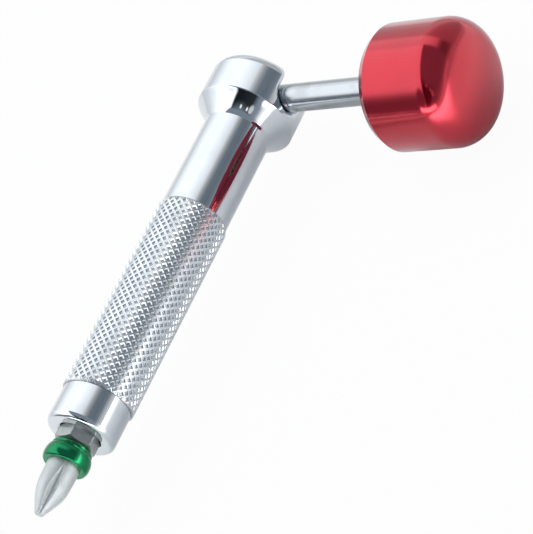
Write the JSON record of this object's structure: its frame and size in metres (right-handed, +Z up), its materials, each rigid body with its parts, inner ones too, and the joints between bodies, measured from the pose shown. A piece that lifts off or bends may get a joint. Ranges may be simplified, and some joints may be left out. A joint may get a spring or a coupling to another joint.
{
  "type": "lollipop bit driver",
  "caption": "Hand bit driver: a knurled chromed body with a hex socket and cross-head bit, and an arm that swings in its slotted head and carries a round spinning knob.",
  "frame": {"origin": "on the ground under the middle of the bounding box, with the tool lying on its side on the knob's rim", "axes": "+X along the arm from the hinge to the knob, +Y along the body from the bit to the head, +Z up along the hinge pin"},
  "size_m": [0.0576, 0.0984, 0.0218],
  "materials": {
    "polished_chrome": "mirror-polished chrome, with a satin diamond knurl on the grip",
    "arm_steel": "polished steel rod",
    "plain_steel": "plain ground steel",
    "red_anodised": "gloss red anodised",
    "green_anodised": "gloss green anodised",
    "bush_bronze": "turned bronze",
    "magnet_nickel": "nickel plate",
    "bit_steel": "satin steel"
  },
  "bodies": {
    "body": {"body": "polished_chrome", "hinge_pin": "plain_steel", "detent_spring": "plain_steel", "bit_magnet": "magnet_nickel"},
    "arm": {"arm": "arm_steel", "knob_snap_ring": "plain_steel"},
    "knob": {"knob": "red_anodised", "knob_bush": "bush_bronze", "thrust_ball": "plain_steel"},
    "detent": {"detent_ball": "plain_steel"},
    "bit": {"driver_bit": "bit_steel", "bit_ring": "green_anodised"}
  },
  "joints": [
    {"name": "arm_hinge", "type": "hinge", "parent": "body", "child": "arm", "pos_m": [-0.0199, 0.03825, 0.0109], "axis": [0, 0, 1], "range_deg": [0, 180]},
    {"name": "knob_spin", "type": "hinge", "parent": "arm", "child": "knob", "pos_m": [0.0113, 0.03825, 0.0109], "axis": [1, 0, 0], "continuous": true},
    {"name": "detent_travel", "type": "slide", "parent": "body", "child": "detent", "axis": [0, -1, 0], "range_m": [0, 0.0005], "stiffness_N_per_m": 300, "springref_m": -0.002, "deforming": ["detent_spring"]},
    {"name": "bit_slide", "type": "slide", "parent": "body", "child": "bit", "axis": [0, -1, 0], "range_m": [0, 0.009]}
  ]
}
